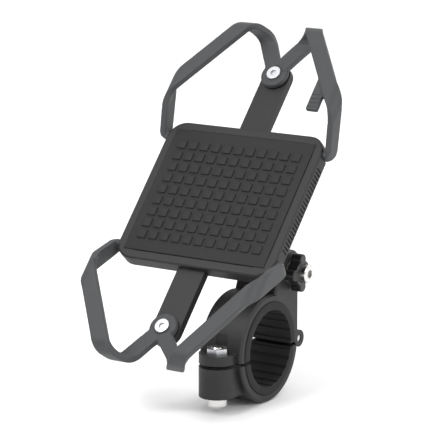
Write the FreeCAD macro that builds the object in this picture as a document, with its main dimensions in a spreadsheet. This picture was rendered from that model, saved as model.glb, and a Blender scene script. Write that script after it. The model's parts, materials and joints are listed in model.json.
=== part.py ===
"""Handlebar phone mount: hinged bar clamp, tilting and turning head, back plate and corner straps.

Frame: origin at the centre of the clamp's bore, +X along the bar towards the rider's right,
+Y forwards, +Z up.  Millimetres.  The phone itself is not part of the mount.
"""
import FreeCAD, Part
import Sketcher
import math
import os

from FreeCAD import Placement, Rotation, Vector

os.makedirs("parts", exist_ok=True)
doc = FreeCAD.newDocument("PhoneMount")

# ---------------------------------------------------------------- driving dimensions
DIMENSIONS = [
    # handlebar clamp
    ("bar_radius", 15.9), ("liner_radius", 19.5), ("ring_radius", 22.4),
    ("clamp_width", 20), ("liner_width", 20.6), ("split_top", -1.5), ("split_low", -3),
    ("edge_chamfer", 0.8), ("jaw_round", 1), ("ear_root", 14), ("jaw_ear_root", 10),
    # jaw hinge at the front, clamp screw at the rear
    ("hinge_front", 23.5), ("hinge_height", -1), ("hinge_radius", 3.6), ("hinge_gap_radius", 4),
    ("hinge_half", 5.1), ("hinge_knuckle_half", 4.9), ("hinge_pin_radius", 1.5), ("hinge_pin_half", 9.6),
    ("ear_back", 24.5), ("ear_radius", 7.5), ("ear_top", 2.5), ("ear_low", -15.5),
    ("bolt_radius", 2.5), ("bolt_slot", 1.6), ("nut_corner", 4.62), ("nut_height", 4),
    ("nut_floor", 0.5), ("washer_thick", 1), ("washer_radius", 5),
    # tilt joint
    ("pivot_front", 16.3), ("pivot_height", 29.1), ("lug_radius", 9), ("fork_half", 5),
    ("tongue_half", 4.5), ("tilt_screw_radius", 2), ("tilt_nut_corner", 4.04), ("tilt_nut_height", 4),
    ("tilt_nut_start", -10.5), ("tilt_pocket_end", -6.5), ("friction_thick", 0.4), ("friction_radius", 8),
    ("knob_start", 11), ("knob_thick", 5), ("knob_core", 5.4), ("knob_lobe", 2.3), ("knob_reach", 5.7),
    ("knob_recess", 1), ("knob_recess_radius", 3.95), ("knob_washer_thick", 0.8),
    ("tilt_angle", 47), ("arm_front", 22.6), ("arm_root", -5),
    # turntable under the back plate, measured from the tilt axis
    ("swivel_offset", -18), ("swivel_rise", 14.7), ("plate_height", 22), ("seat_radius", 20),
    ("seat_top", -3.2), ("seat_thick", 4), ("disc_thick", 3), ("boss_radius", 7.95),
    ("boss_depth", 7.4), ("detent_radius", 14.5), ("ball_radius", 1.5), ("ball_sink", 0.9),
    ("detent_boss_radius", 3.2), ("detent_boss_deep", 4), ("plug_thick", 1.5), ("swivel_washer_radius", 11),
    ("lock_nut_height", 3.2), ("collar_height", 1.4), ("collar_radius", 3.7),
    # back plate, pad and phone pocket, measured from the back plate's back face
    ("plate_wide", 76), ("plate_long", 68), ("plate_thick", 6.7), ("plate_corner", 8),
    ("spine_wide", 13), ("spine_thick", 4), ("eyelet_long", 62.5), ("pad_recess", 0.5),
    ("pad_thick", 1.5), ("pad_wide", 68), ("pad_long", 60), ("pad_corner", 6),
    ("rib_pitch", 1.8), ("rib_gap", 0.8), ("rib_depth", 0.5), ("rib_edge", 1.4),
    ("screw_circle", 10.9), ("small_screw_radius", 1.5), ("small_head_radius", 2.8),
    ("small_head_thick", 1.5), ("small_head_level", 4.6), ("small_key_corner", 1.3),
    ("small_key_deep", 0.7), ("swivel_head_level", 3.2), ("swivel_head_radius", 4.75),
    ("phone_half_wide", 39), ("phone_half_long", 79.1), ("phone_back", 7.7), ("phone_front", 15),
    # straps
    ("strap_thick", 2.8), ("strap_wide", 7), ("strap_gap", 0.2), ("side_cross", 47),
    ("end_cross", 17), ("lower_right_cross", 20), ("bead_radius", 2.4), ("bead_side", 35),
    ("bead_along", 27), ("bead_level", 3.2), ("bead_high", 5), ("eyelet_radius", 6.2), ("eyelet_thick", 2.6),
    ("strap_head_radius", 3.2), ("strap_head_thick", 0.9),
    ("tab_start", 40), ("tab_end", 58), ("tab_wide", 5.5), ("tab_inset", 4.6), ("tab_thick", 2.2),
    # a tool this long runs past every piece
    ("beyond", 60),
    # running and fitting clearances, on the radius
    ("screw_play", 0.3), ("slide_play", 0.06), ("thread_play", 0.05), ("nut_play", 0.15),
    ("press_play", 0.02),
]
ALIASES = {alias for alias, _ in DIMENSIONS}
sheet = doc.addObject("Spreadsheet::Sheet", "dims")
for row, (alias, value) in enumerate(DIMENSIONS, start=1):
    sheet.set(f"A{row}", alias)
    sheet.set(f"B{row}", str(value))
    sheet.setAlias(f"B{row}", alias)
doc.recompute()


def dim(alias):
    """A driving dimension as a plain number."""
    return float(sheet.get(alias))


TILT_FRAME = Placement(Vector(0, dim("pivot_front"), dim("pivot_height")),
                       Rotation(Vector(1, 0, 0), dim("tilt_angle")))
PLATE_FRAME = TILT_FRAME * Placement(
    Vector(dim("swivel_offset"), dim("swivel_rise"), dim("plate_height")), Rotation())
ALONG_X = Rotation(Vector(0, 1, 0), 90)
UPRIGHT = Rotation()
DOWNWARD = Rotation(Vector(1, 0, 0), 180)
nodes = []


# ---------------------------------------------------------------- modelling helpers
def formula(text):
    """An expression on the sheet: every alias gets its sheet's name in front."""
    words = []
    for word in str(text).split():
        known = word.lstrip("-(").rstrip(")")
        words.append(word.replace(known, "dims." + known) if known in ALIASES else word)
    return " ".join(words)


def solid(kind, at=("0", "0", "0"), turn=UPRIGHT, **sizes):
    """A Part primitive whose sizes and position are bound to the sheet."""
    made = doc.addObject(f"Part::{kind}", kind)
    made.Placement = Placement(Vector(), turn)
    for name, text in sizes.items():
        if name == "Polygon":
            made.Polygon = text
        else:
            made.setExpression(name, formula(text))
    for axis, text in zip("xyz", at):
        if text != "0":
            made.setExpression(f"Placement.Base.{axis}", formula(text))
    return made


def rod(radius, length, at, turn=UPRIGHT):
    """A cylinder from at, along its turned axis."""
    return solid("Cylinder", at, turn, Radius=radius, Height=length)


def cross_rod(radius, half, front="0", height="0"):
    """A cylinder along X, centred on X = 0."""
    return rod(radius, f"2 * ( {half} )", (f"-1 * ( {half} )", front, height), ALONG_X)


def drill(radius, x="0", y="0", bottom="-1 * beyond"):
    """A cutting cylinder upwards from bottom, or right through."""
    return rod(radius, "2 * beyond", (x, y, bottom))


def block(low, size):
    """A box from its low corner."""
    return solid("Box", low, Length=size[0], Width=size[1], Height=size[2])


def half_space(level, above):
    """All the space above or below a level."""
    bottom = level if above else f"{level} - beyond"
    return block(("-1 * beyond", "-1 * beyond", bottom), ("2 * beyond", "2 * beyond", "beyond"))


def hexagon(corner, length, at, turn=UPRIGHT):
    """A six-sided prism from at, along its turned axis."""
    return solid("Prism", at, turn, Polygon=6, Circumradius=corner, Height=length)


def fuse(*shapes):
    """The union of several solids."""
    joined = doc.addObject("Part::MultiFuse", "Fuse")
    joined.Shapes = list(shapes)
    joined.Refine = True
    return joined


def cut(base, *tools):
    """A solid with the tools taken away."""
    removed = doc.addObject("Part::Cut", "Cut")
    removed.Base = base
    removed.Tool = fuse(*tools) if len(tools) > 1 else tools[0]
    return removed


def round_edges(base, size, wanted, kind="Fillet"):
    """Fillet or chamfer the edges that the test picks."""
    doc.recompute()
    picked = [(number, size, size) for number, edge in enumerate(base.Shape.Edges, start=1)
              if wanted(edge)]
    if not picked:
        raise RuntimeError(f"no edge to round on {base.Name}")
    rounded = doc.addObject(f"Part::{kind}", kind)
    rounded.Base = base
    rounded.Edges = picked
    return rounded


def extrude(points, low, length):
    """A prism from a closed outline of YZ points, pushed along X."""
    outline = doc.addObject("Sketcher::SketchObject", "Outline")
    outline.Placement = Placement(Vector(low, 0, 0), Rotation(Vector(1, 1, 1), 120))
    for start, end in zip(points, points[1:] + points[:1]):
        outline.addGeometry(Part.LineSegment(Vector(*start, 0), Vector(*end, 0)), False)
    for number in range(len(points)):
        following = (number + 1) % len(points)
        outline.addConstraint(Sketcher.Constraint("Coincident", number, 2, following, 1))
    pushed = doc.addObject("Part::Extrusion", "Extrusion")
    pushed.Base = outline
    pushed.DirMode = "Normal"
    pushed.LengthFwd = length
    pushed.Solid = True
    return pushed


def node(shape, name, frame=None):
    """Name a finished sub-part and put it in its place."""
    shape.Label = name
    if frame is not None:
        shape.Placement = frame
    nodes.append(shape)
    return shape


def at_end(edge, axis, value):
    """True when the whole edge lies in the plane axis = value."""
    box = edge.BoundBox
    low = getattr(box, axis + "Min")
    high = getattr(box, axis + "Max")
    return abs(low - value) < 1e-4 and abs(high - value) < 1e-4


def reach(edge, front=0.0, height=0.0):
    """Smallest distance of an edge's points from the X-line through (front, height)."""
    return min(math.hypot(p.y - front, p.z - height) for p in edge.discretize(5))


def span(edge, front=0.0, height=0.0):
    """Largest distance of an edge's points from the X-line through (front, height)."""
    return max(math.hypot(p.y - front, p.z - height) for p in edge.discretize(5))


# ---------------------------------------------------------------- clamp body: upper half, arm and fork
half_width = dim("clamp_width") / 2
pivot_front, pivot_height = dim("pivot_front"), dim("pivot_height")
lug_radius = dim("lug_radius")

arm_outline = [
    (dim("arm_front"), dim("arm_root")), (dim("arm_front"), pivot_height),
    (pivot_front - lug_radius, pivot_height), (3.5, 20), (2, 10),
]
ring = cross_rod("ring_radius", "clamp_width / 2")
arm = extrude(arm_outline, -half_width, dim("clamp_width"))
knuckle = cross_rod("lug_radius", "clamp_width / 2", "pivot_front", "pivot_height")
upper_ear = fuse(
    block(("-1 * ear_radius", "-1 * ear_back", "split_top"),
          ("2 * ear_radius", "ear_back - ear_root", "ear_top - split_top")),
    rod("ear_radius", "ear_top - split_top", ("0", "-1 * ear_back", "split_top")))
bar_space = cross_rod("liner_radius", "beyond")
upper_half = cut(fuse(ring, arm, knuckle, upper_ear), bar_space, half_space("split_top", above=False))
hinge_lugs = [
    rod("hinge_radius", "clamp_width / 2 - hinge_half", (start, "hinge_front", "hinge_height"), ALONG_X)
    for start in ("-1 * clamp_width / 2", "hinge_half")
]
# the fork is open upwards and to the front, so that the tongue can swing through it
fork_space = [
    cross_rod("lug_radius + 0.5", "fork_half", "pivot_front", "pivot_height"),
    block(("-1 * fork_half", "-12", "pivot_height - 4.6"), ("2 * fork_half", "pivot_front + 12", "beyond")),
    block(("-1 * fork_half", "pivot_front", "pivot_height - 2"), ("2 * fork_half", "beyond", "beyond")),
]
hinge_space = cross_rod("hinge_gap_radius", "hinge_half", "hinge_front", "hinge_height")
bores = [
    cross_rod("tilt_screw_radius + slide_play", "beyond", "pivot_front", "pivot_height"),
    cross_rod("hinge_pin_radius + press_play", "beyond", "hinge_front", "hinge_height"),
    drill("bolt_radius + screw_play", y="-1 * ear_back"),
]
nut_pockets = [
    hexagon("nut_corner + nut_play", "10", ("0", "-1 * ear_back", "nut_floor")),
    hexagon("tilt_nut_corner + nut_play", "beyond",
            ("tilt_pocket_end - beyond", "pivot_front", "pivot_height"), ALONG_X),
]


def outer_rim(edge):
    """Outline edges of the two end faces, without the bore."""
    on_end = at_end(edge, "X", half_width) or at_end(edge, "X", -half_width)
    clear_of_bore = span(edge) > dim("liner_radius") + 0.5 and edge.BoundBox.ZLength > 0.01
    return on_end and clear_of_bore


soft_half = round_edges(upper_half, dim("edge_chamfer"), outer_rim, "Chamfer")
node(cut(fuse(soft_half, *hinge_lugs), *fork_space, hinge_space, *bores, *nut_pockets), "clamp_body")

# ---------------------------------------------------------------- lower jaw, hinged at the front
jaw_ear = fuse(
    block(("-1 * ear_radius", "-1 * ear_back", "ear_low"),
          ("2 * ear_radius", "ear_back - jaw_ear_root", "split_low - ear_low")),
    rod("ear_radius", "split_low - ear_low", ("0", "-1 * ear_back", "ear_low")))
jaw_ring = cut(fuse(cross_rod("ring_radius", "clamp_width / 2"), jaw_ear),
               cross_rod("liner_radius", "beyond"), half_space("split_low", above=True))
jaw_knuckle = cross_rod("hinge_radius", "hinge_knuckle_half", "hinge_front", "hinge_height")
outer_space = [
    rod("hinge_gap_radius", "beyond", (start, "hinge_front", "hinge_height"), ALONG_X)
    for start in ("-1 * hinge_knuckle_half - beyond", "hinge_knuckle_half")
]
# the bore is a slot, so that the jaw can swing down along the straight screw
bolt_slot = fuse(
    drill("bolt_radius + screw_play", y="-1 * ear_back"),
    drill("bolt_radius + screw_play", y="-1 * ear_back - bolt_slot"),
    block(("-1 * bolt_radius - screw_play", "-1 * ear_back - bolt_slot", "-1 * beyond"),
          ("2 * bolt_radius + 2 * screw_play", "bolt_slot", "2 * beyond")))
raw_jaw = cut(fuse(jaw_ring, jaw_knuckle), *outer_space, bolt_slot,
              cross_rod("hinge_pin_radius + slide_play", "beyond", "hinge_front", "hinge_height"))


def jaw_rim(edge):
    """Outer edges of the ring's end faces."""
    on_end = at_end(edge, "X", half_width) or at_end(edge, "X", -half_width)
    return on_end and reach(edge) > dim("ring_radius") - 0.05 and edge.Length > 8


node(round_edges(raw_jaw, dim("jaw_round"), jaw_rim), "clamp_jaw")

# ---------------------------------------------------------------- rubber liners


def liner(name, space):
    """Half a rubber sleeve between the bar and the clamp."""
    sleeve = cut(cross_rod("liner_radius", "liner_width / 2"), cross_rod("bar_radius", "beyond"), space)
    node(sleeve, name)


liner("upper_liner", half_space("split_top", above=False))
liner("lower_liner", half_space("split_low", above=True))

# ---------------------------------------------------------------- jaw pin, clamp screw, washer and nuts
node(cross_rod("hinge_pin_radius", "hinge_pin_half", "hinge_front", "hinge_height"), "jaw_hinge_pin")


def turned_screw(name, frame, shank, length, head, height, key, dome):
    """A screw turned about Z: head above Z = 0 with a sloping rim and a hex socket, shank below.

    Shank, head and key are radii, height is the head's and dome is how much of its rim slopes.
    """
    body = doc.addObject("PartDesign::Body", name)
    planes = {plane.Role: plane for plane in body.Origin.OriginFeatures}
    half = body.newObject("Sketcher::SketchObject", "Half")
    half.AttachmentSupport = [(planes["XZ_Plane"], "")]
    half.MapMode = "FlatFace"
    outline = [(0, -length), (shank - 0.4, -length), (shank, -length + 0.5), (shank, 0), (head, 0),
               (head, height - dome), (head - dome, height), (0, height)]
    for start, end in zip(outline, outline[1:] + outline[:1]):
        half.addGeometry(Part.LineSegment(Vector(*start, 0), Vector(*end, 0)), False)
    spin = body.newObject("PartDesign::Revolution", "Turned")
    spin.Profile = half
    spin.ReferenceAxis = (half, ["V_Axis"])
    spin.Angle = 360
    doc.recompute()
    before = spin.Shape.Volume
    hexagonal = body.newObject("Sketcher::SketchObject", "Key")
    hexagonal.AttachmentSupport = [(planes["XY_Plane"], "")]
    hexagonal.MapMode = "FlatFace"
    hexagonal.AttachmentOffset = Placement(Vector(0, 0, height), Rotation())
    corners = [Vector(key * math.cos(math.radians(a)), key * math.sin(math.radians(a)), 0)
               for a in range(0, 360, 60)]
    for start, end in zip(corners, corners[1:] + corners[:1]):
        hexagonal.addGeometry(Part.LineSegment(start, end), False)
    socket = body.newObject("PartDesign::Pocket", "Socket")
    socket.Profile = hexagonal
    socket.Length = height * 0.6
    doc.recompute()
    if not socket.Shape.Volume < before:
        raise RuntimeError(f"{name}: the socket cuts nothing")
    return node(body, name, frame)


ear_back = dim("ear_back")
bolt_seat = dim("ear_low") - dim("washer_thick")
bolt_top = 5
turned_screw("clamp_bolt", Placement(Vector(0, -ear_back, bolt_seat), DOWNWARD),
             shank=dim("bolt_radius"), length=bolt_top - bolt_seat, head=4.25, height=4, key=2.3, dome=1.3)
node(cut(rod("washer_radius", "washer_thick", ("0", "-1 * ear_back", "ear_low - washer_thick")),
         drill("bolt_radius + thread_play", y="-1 * ear_back")), "clamp_washer")
node(cut(hexagon("nut_corner", "nut_height", ("0", "-1 * ear_back", "nut_floor")),
         drill("bolt_radius + thread_play", y="-1 * ear_back")), "clamp_nut")
node(cut(hexagon("tilt_nut_corner", "tilt_nut_height",
                 ("tilt_nut_start", "pivot_front", "pivot_height"), ALONG_X),
         cross_rod("tilt_screw_radius + thread_play", "beyond", "pivot_front", "pivot_height")), "tilt_nut")

# ---------------------------------------------------------------- tilt bracket: tongue, neck and seat
tongue_half = dim("tongue_half")
seat_low = dim("plate_height") + dim("seat_top") - dim("seat_thick")
seat_high = seat_low + dim("seat_thick")
swivel_x, swivel_rise = dim("swivel_offset"), dim("swivel_rise")
detent_rise = swivel_rise + dim("detent_radius")

neck_outline = [(-7.5, 4.9), (-5.3, seat_low + 1), (22, seat_low + 1), (19, seat_low - 2.5), (8.2, -3.4)]
seat = rod("seat_radius", "seat_thick",
           ("swivel_offset", "swivel_rise", "plate_height + seat_top - seat_thick"))
seat_wing = block(("-12", "-5.3", "plate_height + seat_top - seat_thick"),
                  ("12 + tongue_half", "27.3", "seat_thick"))
barrel = cross_rod("lug_radius", "tongue_half")
neck = extrude(neck_outline, -tongue_half, 2 * tongue_half)
detent_rise_text = "swivel_rise + detent_radius"
detent_boss = rod("detent_boss_radius", "detent_boss_deep + 1",
                  ("swivel_offset", detent_rise_text,
                   "plate_height + seat_top - seat_thick - detent_boss_deep"))
head = round_edges(fuse(seat, seat_wing, barrel, neck, detent_boss), 0.8,
                   lambda edge: at_end(edge, "Z", seat_high))
bracket = cut(head,
              cross_rod("tilt_screw_radius + slide_play", "beyond"),
              drill("boss_radius + thread_play", "swivel_offset", "swivel_rise", "plate_height - 12"),
              drill("ball_radius + 0.1", "swivel_offset", detent_rise_text, "plate_height - 14"))
node(bracket, "tilt_bracket", TILT_FRAME)

washer_halves = [
    cut(rod("friction_radius", "friction_thick", (start, "0", "0"), ALONG_X),
        cross_rod("tilt_screw_radius + 0.5", "beyond"))
    for start in ("tongue_half + 0.05", "-1 * tongue_half - 0.05 - friction_thick")
]
doc.recompute()
washer_pair = doc.addObject("Part::Compound", "WasherPair")
washer_pair.Links = washer_halves
node(washer_pair, "friction_washers", TILT_FRAME)

# ---------------------------------------------------------------- detent: ball, spring and plug
ball_level = seat_high - dim("ball_sink")
node(solid("Sphere", Radius="ball_radius"), "detent_ball",
     TILT_FRAME * Placement(Vector(swivel_x, detent_rise, ball_level), UPRIGHT))

plug_low = seat_low - dim("detent_boss_deep")
plug_key = hexagon("0.8", "1", ("0", "0", "-0.1"))
node(cut(rod("ball_radius + slide_play", "plug_thick", ("0", "0", "0")), plug_key), "detent_plug",
     TILT_FRAME * Placement(Vector(swivel_x, detent_rise, plug_low), UPRIGHT))

COIL_PITCH, COIL_RADIUS, WIRE_RADIUS, COIL_GAP = 0.85, 1.05, 0.22, 0.3
coil_low = plug_low + dim("plug_thick") + COIL_GAP
coil_high = ball_level - dim("ball_radius") - COIL_GAP
coil_path = Part.makeHelix(COIL_PITCH, coil_high - coil_low, COIL_RADIUS)
wire_heading = Vector(0, 1, COIL_PITCH / (2 * math.pi * COIL_RADIUS))
wire_section = Part.Wire(Part.makeCircle(WIRE_RADIUS, coil_path.Vertexes[0].Point, wire_heading))
spring = doc.addObject("Part::Feature", "Spring")
spring.Shape = Part.Wire(coil_path).makePipeShell([wire_section], True, True)
node(spring, "detent_spring", TILT_FRAME * Placement(Vector(swivel_x, detent_rise, coil_low), UPRIGHT))

# ---------------------------------------------------------------- tilt knob, its washer and screw
knob_body = doc.addObject("PartDesign::Body", "Knob")
knob_planes = {plane.Role: plane for plane in knob_body.Origin.OriginFeatures}


def knob_sketch(radius, offset=0.0, level=0.0):
    """A circle on the knob's base plane, its radius bound to the sheet."""
    circle = knob_body.newObject("Sketcher::SketchObject", "Circle")
    circle.AttachmentSupport = [(knob_planes["XY_Plane"], "")]
    circle.MapMode = "FlatFace"
    circle.AttachmentOffset = Placement(Vector(0, 0, level), Rotation())
    circle.addGeometry(Part.Circle(Vector(offset, 0, 0), Vector(0, 0, 1), 1), False)
    number = circle.addConstraint(Sketcher.Constraint("Radius", 0, 1))
    circle.setExpression(f"Constraints[{number}]", formula(radius))
    return circle


core = knob_body.newObject("PartDesign::Pad", "Core")
core.Profile = knob_sketch("knob_core")
core.setExpression("Length", "dims.knob_thick")
lobe = knob_body.newObject("PartDesign::Pad", "Lobe")
lobe.Profile = knob_sketch("knob_lobe", dim("knob_reach"))
lobe.setExpression("Length", "dims.knob_thick")
doc.recompute()
lobes = knob_body.newObject("PartDesign::PolarPattern", "Lobes")
lobes.Originals = [lobe]
lobes.Axis = (knob_planes.get("Z_Axis") or lobe.Profile[0], ["" if "Z_Axis" in knob_planes else "N_Axis"])
lobes.Angle = 360
lobes.Occurrences = 4
knob_body.Tip = lobes
doc.recompute()
lobed_volume = lobes.Shape.Volume
bore = knob_body.newObject("PartDesign::Pocket", "Bore")
bore.Profile = knob_sketch("tilt_screw_radius + thread_play")
bore.Type = "ThroughAll"
bore.Midplane = True
recess = knob_body.newObject("PartDesign::Pocket", "HeadRecess")
recess.Profile = knob_sketch("knob_recess_radius", level=dim("knob_thick"))
recess.setExpression("Length", "dims.knob_recess")
doc.recompute()
if not recess.Shape.Volume < bore.Shape.Volume < lobed_volume:
    raise RuntimeError("tilt_knob: a pocket cuts nothing")
softened = knob_body.newObject("PartDesign::Fillet", "SoftRim")


def on_knob_rim(edge):
    """Outline edges of the knob's two faces, without its bore and recess."""
    on_face = at_end(edge, "Z", dim("knob_thick")) or at_end(edge, "Z", 0)
    return on_face and min(math.hypot(p.x, p.y) for p in edge.discretize(5)) > 4.5


softened.Base = (recess, [f"Edge{number}" for number, edge in enumerate(recess.Shape.Edges, start=1)
                          if on_knob_rim(edge)])
softened.Radius = 0.6
knob_body.Tip = softened
knob_start = dim("knob_start")
node(knob_body, "tilt_knob", Placement(Vector(knob_start, pivot_front, pivot_height), ALONG_X))

node(cut(rod("washer_radius", "knob_washer_thick",
             ("knob_start - knob_washer_thick - 0.05", "pivot_front", "pivot_height"), ALONG_X),
         cross_rod("tilt_screw_radius + thread_play", "beyond", "pivot_front", "pivot_height")),
     "knob_washer")
head_start = knob_start + dim("knob_thick") - dim("knob_recess")
tilt_screw_end = -12.5
turned_screw("tilt_screw", Placement(Vector(head_start, pivot_front, pivot_height), ALONG_X),
             shank=dim("tilt_screw_radius"), length=head_start - tilt_screw_end, head=3.8, height=4, key=1.9,
             dome=0.4)

# ---------------------------------------------------------------- swivel disc, screw, washer and nut
groove_level = dim("seat_top") - dim("ball_sink")
dimple_rise = 0.35
groove_radius = "ball_radius + 0.15"
detent_groove = solid("Torus", ("0", "0", str(groove_level)), Radius1="detent_radius", Radius2=groove_radius)
dimples = []
for quarter in range(4):
    angle = math.radians(90 * quarter + 90)
    spot = (f"detent_radius * {math.cos(angle):.6f}", f"detent_radius * {math.sin(angle):.6f}",
            str(groove_level + dimple_rise))
    dimples.append(solid("Sphere", spot, Radius=groove_radius))
screw_spots = [(str(dim("screw_circle") * math.cos(math.radians(a))),
                str(dim("screw_circle") * math.sin(math.radians(a)))) for a in range(45, 360, 90)]
screw_bores = [drill("small_screw_radius + thread_play", x, y, "0.3 - disc_thick") for x, y in screw_spots]
disc_blank = fuse(rod("seat_radius", "disc_thick", ("0", "0", "-1 * disc_thick")),
                  rod("boss_radius", "boss_depth", ("0", "0", "-1 * boss_depth")))
node(cut(disc_blank, detent_groove, *dimples, *screw_bores, drill("bolt_radius + 0.1")),
     "swivel_disc", PLATE_FRAME)

swivel_screw_end = -13
turned_screw("swivel_screw", PLATE_FRAME * Placement(Vector(0, 0, dim("swivel_head_level")), UPRIGHT),
             shank=dim("bolt_radius"), length=dim("swivel_head_level") - swivel_screw_end,
             head=dim("swivel_head_radius"), height=2.8, key=1.75, dome=1.0)
node(cut(rod("swivel_washer_radius", "washer_thick", ("0", "0", "-1 * boss_depth - washer_thick")),
         drill("bolt_radius + 0.1")), "swivel_washer", PLATE_FRAME)
nut_blank = fuse(
    hexagon("nut_corner", "lock_nut_height", ("0", "0", "-1 * boss_depth - washer_thick - lock_nut_height")),
    rod("collar_radius", "collar_height",
        ("0", "0", "-1 * boss_depth - washer_thick - lock_nut_height - collar_height")))
node(cut(nut_blank, drill("bolt_radius + thread_play")), "swivel_nut", PLATE_FRAME)

# ---------------------------------------------------------------- back plate
slab = block(("-1 * plate_wide / 2", "-1 * plate_long / 2", "0"), ("plate_wide", "plate_long", "plate_thick"))
slab_round = round_edges(slab, dim("plate_corner"),
                         lambda edge: edge.BoundBox.ZLength > 1 and edge.BoundBox.XLength < 1e-6
                         and edge.BoundBox.YLength < 1e-6)
spine = fuse(
    block(("-1 * spine_wide / 2", "-1 * eyelet_long", "0"), ("spine_wide", "2 * eyelet_long", "spine_thick")),
    *[rod("spine_wide / 2", "spine_thick", ("0", f"{side} * eyelet_long", "0")) for side in (-1, 1)])
soft_plate = round_edges(fuse(slab_round, spine), 0.9,
                         lambda edge: at_end(edge, "Z", 0) or at_end(edge, "Z", dim("plate_thick")))
ribs = []
rib_count = 11
for side in ("-1 * plate_wide / 2 - 1", "plate_wide / 2 - rib_depth"):
    for step in range(-rib_count, rib_count + 1):
        ribs.append(block((side, f"{step} * rib_pitch - rib_gap / 2", "rib_edge"),
                          ("rib_depth + 1", "rib_gap", "plate_thick - 2 * rib_edge")))
bead_pockets = []
for side in (-1, 1):
    slit_start = "bead_side" if side > 0 else "-1 * plate_wide / 2 - 3"
    for end in (-1, 1):
        pocket = rod("bead_radius + screw_play", "8", (f"{side} * bead_side", f"{end} * bead_along", "-2"))
        slit = block((slit_start, f"{end} * bead_along - strap_thick / 2 - screw_play", "-2"),
                     ("plate_wide / 2 - bead_side + 3", "strap_thick + 2 * screw_play", "8"))
        bead_pockets += [pocket, slit]


def pad_block(margin, height):
    """The pad's outline, grown by a margin, from the recess's floor up."""
    outline = block(
        (f"-1 * pad_wide / 2 - {margin}", f"-1 * pad_long / 2 - {margin}", "plate_thick - pad_recess"),
        (f"pad_wide + 2 * {margin}", f"pad_long + 2 * {margin}", height))
    return round_edges(outline, dim("pad_corner"), lambda edge: edge.BoundBox.ZLength > 1)


screw_holes = [drill("small_screw_radius + thread_play", x, y) for x, y in screw_spots]
screw_holes += [drill("small_head_radius + 0.2", x, y, "small_head_level") for x, y in screw_spots]
screw_holes += [drill("bolt_radius + 0.1"), drill("swivel_head_radius + 0.45", bottom="swivel_head_level")]
screw_holes += [drill("small_screw_radius + thread_play", y=f"{side} * eyelet_long", bottom="0.8")
                for side in (-1, 1)]
node(cut(soft_plate, *ribs, *bead_pockets, pad_block("0.2", "5"), *screw_holes), "back_plate", PLATE_FRAME)


def small_screw(x, y, seat, head_radius, head_thick, length):
    """A short screw whose flat head has a rounded rim and a hex socket; seat is under its head."""
    blank = fuse(rod(head_radius, head_thick, (x, y, seat)),
                 rod("small_screw_radius", length, (x, y, f"{seat} - {length}")))
    doc.recompute()
    top = blank.Shape.BoundBox.ZMax
    rounded = round_edges(blank, 0.3, lambda edge: at_end(edge, "Z", top))
    socket = hexagon("small_key_corner", "beyond", (x, y, f"{seat} + {head_thick} - small_key_deep"))
    return cut(rounded, socket)


plate_screws = doc.addObject("Part::Compound", "PlateScrews")
plate_screws.Links = [
    small_screw(x, y, "small_head_level", "small_head_radius", "small_head_thick", "7")
    for x, y in screw_spots
]
node(plate_screws, "plate_screws", PLATE_FRAME)
node(pad_block("0", "pad_thick"), "rubber_pad", PLATE_FRAME)

# ---------------------------------------------------------------- corner straps
strap_thick, strap_wide = dim("strap_thick"), dim("strap_wide")
side_cross = dim("side_cross")
phone_front, phone_back = dim("phone_front"), dim("phone_back")
skin = dim("strap_gap") + strap_thick / 2
side_x = dim("phone_half_wide")
end_y = dim("phone_half_long")


def section(centre, outward, widthwise):
    """One flat cross-section of a strap; widthwise is its whole width as a vector."""
    half_wide = Vector(*widthwise) / 2
    half_thick = Vector(*outward).normalize() * (strap_thick / 2)
    middle = Vector(*centre)
    corners = [middle - half_wide - half_thick, middle + half_wide - half_thick,
               middle + half_wide + half_thick, middle - half_wide + half_thick]
    return Part.makePolygon(corners + corners[:1])


def strap_arm(end_cross):
    """The band that goes from its bead in the plate's side round one phone corner to the eyelet.

    It lies flat on each face that it crosses, and its sections at a fold lie along the folded edge.
    """
    run = Vector(end_cross - side_x, end_y - side_cross, 0)
    run.normalize()
    inward, outward = -run.x, run.y       # shares of the run that go inwards and to the phone's end
    bead_x, bead_y, bead_z = dim("bead_side"), dim("bead_along"), dim("bead_level")
    bead_high = dim("bead_high")
    side_slope = outward / inward
    side_mid = side_x + skin
    bend = skin * math.sqrt(0.5)
    near = 1.5
    along_side = (0, -strap_wide / inward, 0)
    along_end = (-strap_wide / outward, 0, 0)
    square_side = (0, -strap_wide * inward, strap_wide * outward)
    behind = end_cross - (phone_front - phone_back) / side_slope
    sections = [
        section((bead_x, bead_y, bead_z), (0, -1, 0), (0, 0, bead_high)),
        section((side_x - 0.8, bead_y, bead_z), (0, -1, 0), (0, 0, bead_high)),
        section((side_mid - 0.5, bead_y + 0.8, bead_z + 0.1), (1, -1, 0), (0, 0, 5.2)),
        section((side_mid, bead_y + 2.7, bead_z + 0.6), (1, 0, 0), (0, -1.2, 5.8)),
        section((side_mid, side_cross - side_slope * 7, phone_front - 7), (1, 0, 0), square_side),
        section((side_mid, side_cross - side_slope * near, phone_front - near), (1, 0, 0), along_side),
        section((side_x + bend, side_cross, phone_front + bend), (1, 0, 1), along_side),
        section((side_x - near, side_cross + side_slope * near, phone_front + skin), (0, 0, 1), along_side),
        section((end_cross + near / side_slope, end_y - near, phone_front + skin), (0, 0, 1), along_end),
        section((end_cross, end_y + bend, phone_front + bend), (0, 1, 1), along_end),
        section((end_cross - near / side_slope, end_y + skin, phone_front - near), (0, 1, 0), along_end),
        section((behind + near / side_slope, end_y + skin, phone_back + near), (0, 1, 0), along_end),
        section((behind, end_y + bend, phone_back - bend), (0, 1, -1), along_end),
        section((behind - near / side_slope, end_y - near, phone_back - skin), (0, 0, -1), along_end),
        section((1.6, dim("eyelet_long") + 3.2, phone_back - skin - 0.35), (0, 0, -1),
                (-strap_wide * outward, strap_wide * inward, 0)),
    ]
    band = Part.makeLoft(sections, True, True)
    bead = Part.makeCylinder(dim("bead_radius"), bead_high, Vector(bead_x, bead_y, bead_z - bead_high / 2))
    return band.fuse(bead)


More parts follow.
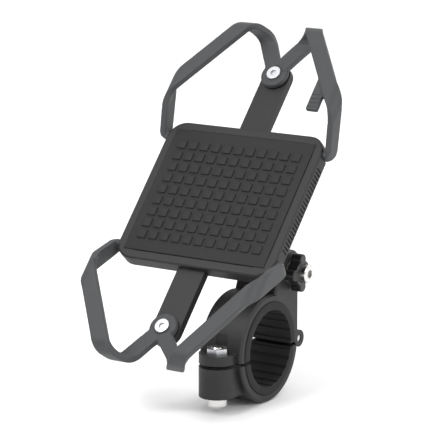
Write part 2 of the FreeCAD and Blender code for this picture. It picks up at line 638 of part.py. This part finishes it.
def strap(end, left_cross, right_cross, with_tab):
    """Two arms joined at an eyelet behind the phone; end is +1 upper or -1 lower."""
    eyelet_z = dim("spine_thick")
    centre = Vector(0, dim("eyelet_long"), eyelet_z)
    left_arm = strap_arm(left_cross).mirror(Vector(), Vector(1, 0, 0))
    eyelet = Part.makeCylinder(dim("eyelet_radius"), dim("eyelet_thick"), centre)
    band = strap_arm(right_cross).fuse([left_arm, eyelet])
    if with_tab:
        tab_wide, tab_long = dim("tab_wide"), dim("tab_end") - dim("tab_start")
        tab_corner = Vector(side_x - dim("tab_inset") - tab_wide, dim("tab_start"),
                            phone_front + dim("strap_gap"))
        band = band.fuse(Part.makeBox(tab_wide, tab_long, dim("tab_thick"), tab_corner))
    hole = Part.makeCylinder(dim("small_screw_radius") + 0.1, 10, centre - Vector(0, 0, 2))
    band = band.cut(hole).removeSplitter()
    return band if end > 0 else band.mirror(Vector(), Vector(0, 1, 0))


end_cross = dim("end_cross")
for name, shape in (
        ("upper_strap", strap(1, end_cross, end_cross, with_tab=True)),
        ("lower_strap", strap(-1, end_cross, dim("lower_right_cross"), with_tab=False))):
    made = doc.addObject("Part::Feature", name)
    made.Shape = shape
    node(made, name, PLATE_FRAME)

strap_screws = doc.addObject("Part::Compound", "StrapScrews")
strap_screws.Links = [
    small_screw("0", f"{side} * eyelet_long", "spine_thick + eyelet_thick", "strap_head_radius",
                "strap_head_thick", "5.6")
    for side in (-1, 1)
]
node(strap_screws, "strap_screws", PLATE_FRAME)

# ---------------------------------------------------------------- checks and export
doc.recompute()
for item in doc.Objects:
    if {"Invalid", "Error"} & set(item.State):
        raise RuntimeError(f"{item.Name} ({item.Label}) failed: {item.State}")
for item in nodes:
    if item.Shape.isNull() or not item.Shape.isValid():
        raise RuntimeError(f"{item.Label}: bad shape")
    item.Shape.exportStep(f"parts/{item.Label}.step")
    print(f"{item.Label:18s} solids {len(item.Shape.Solids)} volume {item.Shape.Volume:9.1f}")
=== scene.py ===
import json
import math

import bmesh
import bpy
from mathutils import Matrix, Vector


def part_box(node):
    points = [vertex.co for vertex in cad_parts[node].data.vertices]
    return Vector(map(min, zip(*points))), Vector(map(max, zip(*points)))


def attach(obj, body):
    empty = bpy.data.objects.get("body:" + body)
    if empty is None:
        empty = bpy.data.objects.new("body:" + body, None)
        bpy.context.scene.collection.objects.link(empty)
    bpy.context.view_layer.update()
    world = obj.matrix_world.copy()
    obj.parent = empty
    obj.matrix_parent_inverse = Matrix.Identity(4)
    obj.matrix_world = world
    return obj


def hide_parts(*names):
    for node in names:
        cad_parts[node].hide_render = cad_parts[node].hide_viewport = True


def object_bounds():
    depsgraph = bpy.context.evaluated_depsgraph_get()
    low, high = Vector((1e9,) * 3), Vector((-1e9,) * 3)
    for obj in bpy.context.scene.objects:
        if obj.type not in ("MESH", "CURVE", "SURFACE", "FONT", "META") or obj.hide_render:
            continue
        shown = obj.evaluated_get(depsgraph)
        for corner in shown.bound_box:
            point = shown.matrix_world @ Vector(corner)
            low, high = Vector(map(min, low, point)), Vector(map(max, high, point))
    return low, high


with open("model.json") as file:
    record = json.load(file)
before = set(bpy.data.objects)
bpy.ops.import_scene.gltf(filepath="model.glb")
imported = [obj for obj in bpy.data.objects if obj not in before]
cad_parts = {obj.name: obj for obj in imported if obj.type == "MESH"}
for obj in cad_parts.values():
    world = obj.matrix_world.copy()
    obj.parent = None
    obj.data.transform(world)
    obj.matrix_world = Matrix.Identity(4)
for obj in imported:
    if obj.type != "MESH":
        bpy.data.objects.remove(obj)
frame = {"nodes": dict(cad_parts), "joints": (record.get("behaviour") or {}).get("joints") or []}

cad_low, cad_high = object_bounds()

# ------------------------------------------------------------------ studio
# A plain pale floor under a pale dome and three soft boxes.  The mount hangs on a bar in use, so it
# stands here on its clamp ring, and the camera looks over the rider's right shoulder.
MM = 0.001
AIM_RAISE = 0.5 * MM
FLOOR_SIDE, FLOOR_GAP = 8, 0.2 * MM
FLOOR_GREY = 0.9
DOME_STOPS = ((0.12, 0.95), (0.3, 0.3), (0.7, 1.2))     # share of the dome's height, brightness
DOME_BLUE = 1.01

camera_data = bpy.data.cameras.new("camera")
camera = bpy.data.objects.new("camera", camera_data)
bpy.context.scene.collection.objects.link(camera)
bpy.context.scene.camera = camera
camera.location = (0.5136, -0.8271, 0.2654)
aim = (cad_low + cad_high) / 2 + Vector((0, 0, AIM_RAISE))
camera.rotation_mode = "QUATERNION"
camera.rotation_quaternion = (aim - camera.location).to_track_quat("-Z", "Y")
camera_data.lens = 205
camera_data.sensor_width = 36

bpy.ops.mesh.primitive_plane_add(size=FLOOR_SIDE, location=(0, 0, cad_low.z - FLOOR_GAP))
floor = bpy.context.object
floor.name = "floor"
floor_paint = bpy.data.materials.new("floor_paint")
floor_paint.use_nodes = True
floor_shader = floor_paint.node_tree.nodes["Principled BSDF"]
floor_shader.inputs["Base Color"].default_value = (FLOOR_GREY, FLOOR_GREY, FLOOR_GREY, 1)
floor_shader.inputs["Roughness"].default_value = 0.8
floor_shader.inputs["Specular IOR Level"].default_value = 0.1
floor.data.materials.append(floor_paint)

world = bpy.data.worlds.new("studio_air")
world.use_nodes = True
air = world.node_tree.nodes
air_links = world.node_tree.links
direction = air.new("ShaderNodeTexCoord")
height = air.new("ShaderNodeSeparateXYZ")
dome = air.new("ShaderNodeValToRGB")
for position, level in DOME_STOPS:
    stop = dome.color_ramp.elements.new(position)
    stop.color = (level, level, level * DOME_BLUE, 1)
dome.color_ramp.elements.remove(dome.color_ramp.elements[0])
dome.color_ramp.elements.remove(dome.color_ramp.elements[-1])
air_links.new(direction.outputs["Generated"], height.inputs["Vector"])
air_links.new(height.outputs["Z"], dome.inputs["Fac"])
air_links.new(dome.outputs["Color"], air["Background"].inputs["Color"])
air["Background"].inputs["Strength"].default_value = 1.0
bpy.context.scene.world = world
bpy.context.scene.view_settings.view_transform = "Standard"


def soft_box(name, place, side, watts):
    """A square area light that looks at the mount."""
    data = bpy.data.lights.new(name, "AREA")
    data.size = side
    data.energy = watts
    light = bpy.data.objects.new(name, data)
    light.location = place
    light.rotation_mode = "QUATERNION"
    light.rotation_quaternion = (aim - Vector(place)).to_track_quat("-Z", "Y")
    bpy.context.scene.collection.objects.link(light)


soft_box("key_light", place=(-0.35, -0.75, 1.0), side=0.5, watts=7)
soft_box("side_light", place=(0.95, -0.1, 0.45), side=0.4, watts=4)
soft_box("back_light", place=(0.1, 0.9, 0.8), side=0.6, watts=4)

# ------------------------------------------------------------------ clamp body and jaw
# Two moulded halves of black glass-filled nylon, hinged on a pin in front of the bar and drawn
# together by one screw behind it.  The mould leaves a fine grain, and handling rubs the edges.
GRAIN_SIZE, FLOW_SIZE, RUB_SIZE = 0.45 * MM, 14 * MM, 2.2 * MM
SOFT_EDGE, WORN_EDGE = 0.25 * MM, 0.5 * MM
FLAT_MATCH, SHARP_MATCH = 0.995, 0.86     # how well rounded and flat normals agree: face, edge
NYLON_GRAIN = 0.03 * MM


class Wire:
    """A shader socket that is added, subtracted and multiplied like a number."""

    def __init__(self, paint, socket):
        self.paint = paint
        self.socket = socket

    def maths(self, operation, first, second):
        return self.paint.node("Math", {0: first, 1: second}, operation=operation)

    def __add__(self, other):
        return self.maths("ADD", self, other)

    def __radd__(self, other):
        return self.maths("ADD", other, self)

    def __sub__(self, other):
        return self.maths("SUBTRACT", self, other)

    def __rsub__(self, other):
        return self.maths("SUBTRACT", other, self)

    def __mul__(self, other):
        return self.maths("MULTIPLY", self, other)

    def __rmul__(self, other):
        return self.maths("MULTIPLY", other, self)


class Paint:
    """One material: a Principled shader and the nodes that feed it."""

    def __init__(self, name, **constants):
        self.material = bpy.data.materials.new(name)
        self.material.use_nodes = True
        self.tree = self.material.node_tree
        self.shader = self.tree.nodes["Principled BSDF"]
        for socket, value in constants.items():
            self.shader.inputs[socket.replace("_", " ")].default_value = value

    def node(self, kind, sockets=None, output=0, **settings):
        """Adds a node: its settings first, then the values or wires of its sockets."""
        made = self.tree.nodes.new("ShaderNode" + kind)
        for setting, value in settings.items():
            setattr(made, setting, value)
        for socket, value in (sockets or {}).items():
            if isinstance(value, Wire):
                self.tree.links.new(value.socket, made.inputs[socket])
            else:
                made.inputs[socket].default_value = value
        return Wire(self, made.outputs[output])

    def feed(self, **sockets):
        """Wires into the shader's own sockets."""
        for socket, value in sockets.items():
            self.tree.links.new(value.socket, self.shader.inputs[socket.replace("_", " ")])

    def place(self):
        """Object coordinates, in metres."""
        return self.node("TexCoord", output="Object")

    def noise(self, size, detail):
        """Noise from 0 to 1 whose grains are about size metres."""
        return self.node("TexNoise", {"Vector": self.place(), "Scale": 1 / size, "Detail": detail})

    def blend(self, share, low, high):
        """A colour between low and high."""
        return self.node("Mix", {0: share, 6: low, 7: high}, output=2, data_type="RGBA")

    def soft_edge(self, width):
        """Normals that turn smoothly over the sharp edges."""
        return self.node("Bevel", {"Radius": width}, samples=6)

    def worn_edge(self, width):
        """About 0 on a flat face and 1 along a sharp edge."""
        rounded = self.soft_edge(width)
        face = self.node("NewGeometry", output="Normal")
        match = self.node("VectorMath", {0: rounded, 1: face}, output="Value", operation="DOT_PRODUCT")
        return self.node("MapRange", {"Value": match, "From Min": FLAT_MATCH, "From Max": SHARP_MATCH,
                                      "To Min": 0.0, "To Max": 1.0})

    def bump(self, height, strength, distance):
        """Fine relief on top of softened edges."""
        return self.node("Bump", {"Height": height, "Strength": strength, "Distance": distance,
                                  "Normal": self.soft_edge(SOFT_EDGE)})


def grey(level, warmth=0.0):
    """A linear grey, slightly warm or cool."""
    return (level * (1 + warmth), level, level * (1 - warmth), 1)


def moulded_plastic(name, level, roughness, grain_depth):
    """Textured black plastic with a fine grain, faint flow marks and lighter rubbed edges."""
    paint = Paint(name, Specular_IOR_Level=0.4)
    grain = paint.noise(GRAIN_SIZE, 3)
    flow = paint.noise(FLOW_SIZE, 2)
    rub = paint.worn_edge(WORN_EDGE) * paint.noise(RUB_SIZE, 4)
    dark, light, rubbed = grey(level * 0.82), grey(level * 1.2, 0.01), grey(level * 2.6)
    paint.feed(
        Base_Color=paint.blend(rub, paint.blend(flow, dark, light), rubbed),
        Roughness=roughness + 0.12 * (grain - 0.5) + 0.1 * (flow - 0.5) - 0.16 * rub,
        Normal=paint.bump(grain, 0.5, grain_depth))
    return paint.material


def dress(material, *names):
    """Gives CAD nodes a material."""
    for name in names:
        slots = frame["nodes"][name].data.materials
        slots.clear()
        slots.append(material)


nylon = moulded_plastic("black_nylon", 0.0115, 0.52, NYLON_GRAIN)
dress(nylon, "clamp_body", "clamp_jaw")

# ------------------------------------------------------------------ liners
# Two halves of a dull black rubber sleeve, moulded with grip grooves along the bore and set in the
# clamp's halves.  They keep the clamp from slipping on the bar and from marking it.
BAR_RADIUS = 15.9 * MM
LINER_STEPS = 144
GROOVE_EVERY, GROOVE_WIDE = 6, 2     # counted in steps round the bore
GROOVE_RIM, GROOVE_DEEP = 0.25 * MM, 0.6 * MM
LINER_EDGE = 0.25 * MM
BLOOM_SIZE, PORE_SIZE, PORE_DEEP = 3 * MM, 0.3 * MM, 0.02 * MM
DOUBLES = 1e-6


def rubber(name, level, roughness):
    """Dull rubber with a dusty bloom."""
    paint = Paint(name, Specular_IOR_Level=0.35)
    bloom = paint.noise(BLOOM_SIZE, 5)
    pores = paint.noise(PORE_SIZE, 2)
    clean, dusty = grey(level * 0.8), grey(level * 1.35, 0.01)
    paint.feed(
        Base_Color=paint.blend(bloom, clean, dusty),
        Roughness=roughness + 0.15 * (bloom - 0.5),
        Normal=paint.bump(pores, 0.4, PORE_DEEP))
    return paint.material


def choose(piece):
    """Makes a piece the only selected object and the active one."""
    bpy.ops.object.select_all(action="DESELECT")
    piece.select_set(True)
    bpy.context.view_layer.objects.active = piece


def edit(piece):
    """Opens a piece in edit mode with nothing selected."""
    choose(piece)
    bpy.ops.object.mode_set(mode="EDIT")
    bpy.ops.mesh.select_all(action="DESELECT")


def done():
    """Back to object mode."""
    bpy.ops.object.mode_set(mode="OBJECT")


def apply(piece, kind, **settings):
    """Adds a modifier and applies it."""
    choose(piece)
    modifier = piece.modifiers.new(kind.lower(), kind)
    for setting, value in settings.items():
        setattr(modifier, setting, value)
    bpy.ops.object.modifier_apply(modifier=modifier.name)


def soften(piece, width, segments, angle):
    """Rounds the edges that turn by more than an angle in degrees."""
    apply(piece, "BEVEL", width=width, segments=segments, limit_method="ANGLE",
          angle_limit=math.radians(angle))


def settle(piece, name, place, material, body, replaced, angle=40):
    """Moves a finished piece's mesh to its place and parents it to its body."""
    piece.name = name
    choose(piece)
    bpy.ops.object.transform_apply(location=True, rotation=True, scale=True)
    piece.data.transform(place)
    bpy.ops.object.shade_smooth_by_angle(angle=math.radians(angle))
    piece.data.materials.clear()
    piece.data.materials.append(material)
    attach(piece, body)
    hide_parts(*replaced)


def liner(name, node, body, material):
    """Half a sleeve: a radial slice spun round the bar, grooved inside and cut at the split."""
    low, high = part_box(node)
    outer = (high.y - low.y) / 2
    inner = BAR_RADIUS
    upper = high.z > -low.z
    split = low.z if upper else high.z
    bpy.ops.mesh.primitive_plane_add(size=1, location=(0, 0, 0))
    sleeve = bpy.context.object
    sleeve.scale = (high.x - low.x, outer - inner, 1)
    sleeve.location = (0, (outer + inner) / 2, 0)
    bpy.ops.object.transform_apply(location=True, rotation=True, scale=True)
    edit(sleeve)
    bpy.ops.mesh.select_all(action="SELECT")
    bpy.ops.mesh.spin(steps=LINER_STEPS, angle=2 * math.pi, center=(0, 0, 0), axis=(1, 0, 0))
    bpy.ops.mesh.select_all(action="SELECT")
    bpy.ops.mesh.remove_doubles(threshold=DOUBLES)
    mesh = bmesh.from_edit_mesh(sleeve.data)
    hidden = []
    for face in mesh.faces:
        outwards = face.calc_center_median().normalized()
        if abs(face.normal.x) < 0.1 and abs(face.normal.dot(outwards)) < 0.5:
            hidden.append(face)
    bmesh.ops.delete(mesh, geom=hidden, context="FACES")
    bmesh.update_edit_mesh(sleeve.data)
    bpy.ops.mesh.select_all(action="SELECT")
    bpy.ops.mesh.normals_make_consistent(inside=False)
    bpy.ops.mesh.select_all(action="DESELECT")
    mesh = bmesh.from_edit_mesh(sleeve.data)
    for face in mesh.faces:
        middle = face.calc_center_median()
        step = math.atan2(middle.z, middle.y) / (2 * math.pi) * LINER_STEPS
        on_bore = math.hypot(middle.y, middle.z) < (inner + outer) / 2 and abs(face.normal.x) < 0.1
        face.select = on_bore and math.floor(step) % GROOVE_EVERY < GROOVE_WIDE
    bmesh.update_edit_mesh(sleeve.data)
    bpy.ops.mesh.inset(thickness=GROOVE_RIM, depth=-GROOVE_DEEP)
    bpy.ops.mesh.select_all(action="SELECT")
    bpy.ops.mesh.bisect(plane_co=(0, 0, split), plane_no=(0, 0, 1), use_fill=True,
                        clear_inner=upper, clear_outer=not upper)
    done()
    soften(sleeve, LINER_EDGE, 2, 50)
    settle(sleeve, name, Matrix.Identity(4), material, body, [node])


liner_rubber = rubber("liner_rubber", 0.008, 0.72)
liner("upper_sleeve", "upper_liner", "clamp", liner_rubber)
liner("lower_sleeve", "lower_liner", "jaw", liner_rubber)

# ------------------------------------------------------------------ screws, nuts, washers and pins
# Turned stainless screws, washers, pin and ball, and zinc-plated nuts and small screws.  One screw
# draws the jaw shut, and the others hold the tilt joint, the turntable and the straps together.
STAIN_SIZE, TURNING_DEEP = 4 * MM, 0.01 * MM
STAINLESS, ZINC = (0.74, 0.73, 0.71), (0.6, 0.61, 0.63)


def steel(name, colour, roughness, scratch_size):
    """Machined steel with fine turning marks and soft stains."""
    paint = Paint(name, Metallic=1.0)
    marks = paint.noise(scratch_size, 3)
    stain = paint.noise(STAIN_SIZE, 4)
    stained, bright = tuple(0.85 * c for c in colour) + (1,), colour + (1,)
    paint.feed(
        Base_Color=paint.blend(stain, stained, bright),
        Roughness=roughness + 0.18 * (marks - 0.5) + 0.1 * (stain - 0.5),
        Normal=paint.bump(marks, 0.25, TURNING_DEEP))
    return paint.material


stainless = steel("stainless", STAINLESS, 0.24, 0.35 * MM)
zinc = steel("zinc_steel", ZINC, 0.36, 0.6 * MM)
dress(stainless, "clamp_bolt", "clamp_washer", "jaw_hinge_pin", "detent_ball", "tilt_screw", "knob_washer")
dress(zinc, "clamp_nut", "tilt_nut", "detent_spring", "detent_plug", "swivel_screw", "swivel_washer",
      "swivel_nut", "plate_screws", "strap_screws")

# ------------------------------------------------------------------ tilt bracket and knob
# The bracket is moulded in the same nylon as the clamp and swings between its fork lugs.  The lobed
# knob is a smoother moulding on the tilt screw, and squeezes the fork on the bracket.
KNOB_GRAIN = 0.01 * MM

dress(nylon, "tilt_bracket")
knob_plastic = moulded_plastic("knob_plastic", 0.013, 0.34, KNOB_GRAIN)
dress(knob_plastic, "tilt_knob")

# ------------------------------------------------------------------ turntable
# A disc of slippery acetal that turns on the bracket's seat, screwed to the back plate, and thin
# washers of the same plastic between the fork and the bracket.
ACETAL_GRAIN = 0.005 * MM

acetal = moulded_plastic("acetal", 0.012, 0.3, ACETAL_GRAIN)
dress(acetal, "swivel_disc", "friction_washers")

# ------------------------------------------------------------------ back plate
# A moulded nylon plate behind the phone with finely ribbed sides, slits for the straps' beads and
# a spine whose ends carry the straps' eyelets.
dress(nylon, "back_plate")

# ------------------------------------------------------------------ rubber pad
# A grippy rubber mat under the phone, glued into the plate's recess and moulded with rows of
# small lugs.  Heights are from the plate's back face.
PAD_WIDE, PAD_LONG, PAD_CORNER, PAD_EDGE = 68 * MM, 60 * MM, 6 * MM, 0.3 * MM
PAD_BASE, PAD_WEB, PAD_TOP = 6.2 * MM, 7.1 * MM, 7.7 * MM
LUG_PITCH, LUG_SIDE, LUG_CORNER, LUG_EDGE, LUG_ROOT = 5.6 * MM, 4.0 * MM, 1.0 * MM, 0.25 * MM, 0.2 * MM
LUG_COLUMNS, LUG_ROWS = 11, 9

swivel = next(joint for joint in frame["joints"] if joint["name"] == "swivel")
plate_turn = math.atan2(-swivel["axis"][1], swivel["axis"][2])
PLATE = Matrix.Translation(swivel["pos_m"]) @ Matrix.Rotation(plate_turn, 4, "X")


def join(first, *others):
    """One object from several."""
    bpy.ops.object.select_all(action="DESELECT")
    for piece in (first, *others):
        piece.select_set(True)
    bpy.context.view_layer.objects.active = first
    bpy.ops.object.join()
    return first


def rounded_block(low, high, corner, edge, segments=4):
    """A block with upright corners of one radius and softened top and bottom edges."""
    bpy.ops.mesh.primitive_cube_add(size=1, location=[(top + bottom) / 2 for bottom, top in zip(low, high)])
    made = bpy.context.object
    made.scale = [top - bottom for bottom, top in zip(low, high)]
    bpy.ops.object.transform_apply(location=True, rotation=True, scale=True)
    edit(made)
    mesh = bmesh.from_edit_mesh(made.data)
    for line in mesh.edges:
        start, end = (vertex.co for vertex in line.verts)
        line.select = abs(start.z - end.z) > DOUBLES
    bmesh.update_edit_mesh(made.data)
    bpy.ops.mesh.bevel(offset=corner, segments=segments * 2)
    done()
    soften(made, edge, segments, 60)
    return made


web = rounded_block((-PAD_WIDE / 2, -PAD_LONG / 2, PAD_BASE), (PAD_WIDE / 2, PAD_LONG / 2, PAD_WEB),
                    PAD_CORNER, PAD_EDGE)
lugs = []
for column in range(LUG_COLUMNS):
    for row in range(LUG_ROWS):
        x = (column - (LUG_COLUMNS - 1) / 2) * LUG_PITCH
        y = (row - (LUG_ROWS - 1) / 2) * LUG_PITCH
        lug = rounded_block((x - LUG_SIDE / 2, y - LUG_SIDE / 2, PAD_WEB - LUG_ROOT),
                            (x + LUG_SIDE / 2, y + LUG_SIDE / 2, PAD_TOP), LUG_CORNER, LUG_EDGE, 2)
        lugs.append(lug)
pad = join(web, *lugs)
pad_rubber = rubber("pad_rubber", 0.012, 0.66)
settle(pad, "grip_pad", PLATE, pad_rubber, "holder", ["rubber_pad"])

# ------------------------------------------------------------------ corner straps
# Each strap is one moulding of matt grey silicone: an eyelet screwed to the spine, and two flat arms
# that wrap the phone's corners and end in beads held in the plate's sides.  The upper one has a pull
# tab.  Sizes are for the upper right arm, from the middle of the plate's back face.
PHONE_X, PHONE_Y = 39 * MM, 79.1 * MM
PHONE_BACK, PHONE_FRONT = 7.7 * MM, 15 * MM
STRAP_WIDE, STRAP_THICK = 7 * MM, 2.8 * MM
SIDE_CROSS, END_CROSS, LOWER_RIGHT_CROSS = 47 * MM, 17 * MM, 20 * MM
CORNER = 2.5 * MM
SKIN = 0.2 * MM + STRAP_THICK / 2
BEAD_X, BEAD_Y, BEAD_Z, SLIT_X = 35 * MM, 27 * MM, 3.2 * MM, 38.2 * MM
BEAD_RADIUS, BEAD_LOW, BEAD_HIGH, BEAD_EDGE = 2.4 * MM, 0.7 * MM, 5.7 * MM, 0.5 * MM
SLIT_WIDE, RISE_NARROWING = 5 * MM, 0.88
EYELET_Y, EYELET_RADIUS, EYELET_EDGE = 62.5 * MM, 6.2 * MM, 0.6 * MM
EYELET_LOW, EYELET_HIGH = 4.05 * MM, 6.6 * MM
ROOT_SIDE, ROOT_BEYOND, ROOT_SINK = 1.6 * MM, 3.2 * MM, 0.35 * MM     # where an arm meets its eyelet
SLIT_STEPS, TURN_STEPS, RISE_STEPS, FOLD_STEPS = 3, 8, 8, 8
VOXEL, SMOOTH_TURNS = 0.28 * MM, 14
TAB_START, TAB_LONG, TAB_WIDE, TAB_INSET = 40 * MM, 18 * MM, 5.5 * MM, 4.6 * MM
TAB_LEFT = PHONE_X - TAB_INSET - TAB_WIDE
TAB_LOW, TAB_HIGH, TAB_CORNER, TAB_EDGE = 0.2 * MM, 2.4 * MM, 0.7 * MM, 0.4 * MM
RIDGE_COUNT, RIDGE_FIRST, RIDGE_PITCH, RIDGE_LONG = 4, 1.3 * MM, 2 * MM, 0.9 * MM
RIDGE_MARGIN, RIDGE_CORNER, RIDGE_EDGE = 0.6 * MM, 0.4 * MM, 0.3 * MM
RIDGE_LOW, RIDGE_HIGH = 1.8 * MM, 2.75 * MM
SILICONE_DARK, SILICONE_LIGHT = 0.038, 0.058
DUST_SIZE, SPECK_SIZE, SPECK_DEEP = 5 * MM, 0.5 * MM, 0.015 * MM


def fold(centre, first, second, radius, slide, widthwise):
    """Sections round one folded edge: from the direction first to second, sliding along the edge."""
    sections = []
    for step in range(FOLD_STEPS + 1):
        turn = math.pi / 2 * step / FOLD_STEPS
        out = Vector(first) * math.cos(turn) + Vector(second) * math.sin(turn)
        sections.append((centre + out * radius + Vector(slide) * (radius * turn), Vector(widthwise)))
    return sections


def blended(start, end, steps):
    """Sections spaced evenly from start to just before end."""
    return [(start[0].lerp(end[0], step / steps), start[1].lerp(end[1], step / steps))
            for step in range(steps)]


def rising_sections(side_end, along_side):
    """From the bead out of the plate's slit, round a quarter turn and up to the phone's front edge."""
    upright = Vector((0, 0, SLIT_WIDE))
    bead = Vector((BEAD_X, BEAD_Y, BEAD_Z))
    slit_end = Vector((SLIT_X, BEAD_Y, BEAD_Z))
    bend = side_end.x - SLIT_X
    rise = (side_end - Vector((side_end.x, BEAD_Y, BEAD_Z))).normalized()
    side_width = Vector((0, -rise.z, rise.y)) * (STRAP_WIDE * RISE_NARROWING)
    sections = blended((bead, upright), (slit_end, upright), SLIT_STEPS)
    for step in range(TURN_STEPS):
        turn = math.pi / 2 * step / TURN_STEPS
        place = slit_end + Vector((math.sin(turn), 0, 0)) * bend + rise * (bend * (1 - math.cos(turn)))
        sections.append((place, upright.lerp(side_width, step / TURN_STEPS)))
    turned = slit_end + Vector((bend, 0, 0)) + rise * bend
    return sections + blended((turned, side_width), (side_end, Vector(along_side)), RISE_STEPS)


def arm_sections(end_cross):
    """Middle line and width of one strap arm, from its bead to its eyelet."""
    heading = Vector((end_cross - PHONE_X, PHONE_Y - SIDE_CROSS, 0)).normalized()
    slope = heading.y / -heading.x
    radius = CORNER + SKIN
    turned = radius * math.pi / 2
    along_side = (0, -STRAP_WIDE / -heading.x, 0)
    along_end = (-STRAP_WIDE / heading.y, 0, 0)
    front_y = SIDE_CROSS + CORNER * slope
    side_start = Vector((PHONE_X - CORNER, front_y - turned * slope, PHONE_FRONT - CORNER))
    front_end = Vector((end_cross + CORNER / slope, PHONE_Y - CORNER, PHONE_FRONT - CORNER))
    drop = PHONE_FRONT - PHONE_BACK - 2 * CORNER
    back_start = Vector((front_end.x - (turned + drop) / slope, PHONE_Y - CORNER, PHONE_BACK + CORNER))
    eyelet_end = Vector((ROOT_SIDE, EYELET_Y + ROOT_BEYOND, PHONE_BACK - SKIN - ROOT_SINK))
    sections = rising_sections(side_start + Vector((radius, 0, 0)), along_side)
    sections += fold(side_start, (1, 0, 0), (0, 0, 1), radius, (0, slope, 0), along_side)
    sections += fold(front_end, (0, 0, 1), (0, 1, 0), radius, (-1 / slope, 0, 0), along_end)
    sections += fold(back_start, (0, 1, 0), (0, 0, -1), radius, (-1 / slope, 0, 0), along_end)
    sections.append((eyelet_end, Vector((-heading.y, -heading.x, 0)) * STRAP_WIDE))
    return sections


def strap_arm(end_cross):
    """A flat ribbon extruded section by section, then given its thickness."""
    sections = arm_sections(end_cross)
    (start, start_width), (follow, follow_width) = sections[:2]
    bpy.ops.mesh.primitive_plane_add(size=1)
    ribbon = bpy.context.object
    edit(ribbon)
    mesh = bmesh.from_edit_mesh(ribbon.data)
    corners = mesh.faces[:][0].verts[:]
    places = [start - start_width / 2, start + start_width / 2,
              follow + follow_width / 2, follow - follow_width / 2]
    for vertex, place in zip(corners, places):
        vertex.co = place
    free_end = next(edge for edge in mesh.edges if corners[2] in edge.verts and corners[3] in edge.verts)
    free_end.select = True
    bmesh.update_edit_mesh(ribbon.data)
    for centre, widthwise in sections[2:]:
        bpy.ops.mesh.extrude_region_move(TRANSFORM_OT_translate={"value": (0, 0, 0)})
        mesh = bmesh.from_edit_mesh(ribbon.data)
        picked = [vertex for vertex in mesh.verts if vertex.select]
        low, high = centre - widthwise / 2, centre + widthwise / 2
        nearer_low = {}
        for vertex in picked:
            ends = [edge.other_vert(vertex) for edge in vertex.link_edges]
            behind = next(end for end in ends if not end.select)
            nearer_low[vertex] = (behind.co - low).length - (behind.co - high).length
        picked.sort(key=nearer_low.get)
        picked[0].co, picked[1].co = low, high
        bmesh.update_edit_mesh(ribbon.data)
    bpy.ops.mesh.select_all(action="SELECT")
    bpy.ops.mesh.remove_doubles(threshold=DOUBLES)
    bpy.ops.mesh.normals_make_consistent(inside=False)
    done()
    apply(ribbon, "SOLIDIFY", thickness=STRAP_THICK, offset=0, use_even_offset=True)
    return ribbon


def peg(radius, low, high, place, edge):
    """An upright round peg with softened rims."""
    bpy.ops.mesh.primitive_cylinder_add(vertices=48, radius=radius, depth=high - low,
                                        location=(place[0], place[1], (low + high) / 2))
    made = bpy.context.object
    soften(made, edge, 3, 50)
    return made


def mirror(piece, flip):
    """Turns a piece's mesh into its mirror image, with its faces still pointing outwards."""
    piece.data.transform(Matrix.Diagonal((*flip, 1)))
    piece.data.flip_normals()


def silicone(name):
    """Matt grey silicone: even colour, faint dust and a soft sheen."""
    paint = Paint(name, Specular_IOR_Level=0.35, Sheen_Weight=0.08, Sheen_Roughness=0.4)
    dust = paint.noise(DUST_SIZE, 5)
    speck = paint.noise(SPECK_SIZE, 2)
    paint.feed(
        Base_Color=paint.blend(dust, grey(SILICONE_DARK, -0.04), grey(SILICONE_LIGHT, -0.025)),
        Roughness=0.55 + 0.16 * (dust - 0.5) + 0.08 * (speck - 0.5),
        Normal=paint.bump(speck, 0.35, SPECK_DEEP))
    return paint.material


def pull_tab():
    """A finger tab on the front of the band."""
    return rounded_block((TAB_LEFT, TAB_START, PHONE_FRONT + TAB_LOW),
                         (TAB_LEFT + TAB_WIDE, TAB_START + TAB_LONG, PHONE_FRONT + TAB_HIGH),
                         TAB_CORNER, TAB_EDGE)


def tab_ridges():
    """Low ridges across the tab's end for grip."""
    ridges = []
    for step in range(RIDGE_COUNT):
        start = TAB_START + RIDGE_FIRST + step * RIDGE_PITCH
        ridge = rounded_block((TAB_LEFT + RIDGE_MARGIN, start, PHONE_FRONT + RIDGE_LOW),
                              (TAB_LEFT + TAB_WIDE - RIDGE_MARGIN, start + RIDGE_LONG,
                               PHONE_FRONT + RIDGE_HIGH), RIDGE_CORNER, RIDGE_EDGE, 2)
        ridges.append(ridge)
    return ridges


def strap(name, end, left_cross, right_cross, with_tab, replaced):
    """Arms, eyelet, beads and tab grown together into one soft-edged moulding."""
    right, left = [
        join(strap_arm(cross), peg(BEAD_RADIUS, BEAD_LOW, BEAD_HIGH, (BEAD_X, BEAD_Y), BEAD_EDGE))
        for cross in (right_cross, left_cross)]
    mirror(left, (-1, 1, 1))
    eyelet = peg(EYELET_RADIUS, EYELET_LOW, EYELET_HIGH, (0, EYELET_Y), EYELET_EDGE)
    band = join(right, left, eyelet, *([pull_tab()] if with_tab else []))
    apply(band, "REMESH", mode="VOXEL", voxel_size=VOXEL, adaptivity=0)
    apply(band, "SMOOTH", factor=0.5, iterations=SMOOTH_TURNS)
    if with_tab:
        join(band, *tab_ridges())
    if end < 0:
        mirror(band, (1, -1, 1))
    settle(band, name, PLATE, strap_silicone, "holder", replaced, angle=60)


strap_silicone = silicone("strap_silicone")
strap("upper_band", 1, END_CROSS, END_CROSS, True, ["upper_strap"])
strap("lower_band", -1, END_CROSS, LOWER_RIGHT_CROSS, False, ["lower_strap"])

# ------------------------------------------------------------------ final update
bpy.context.view_layer.update()
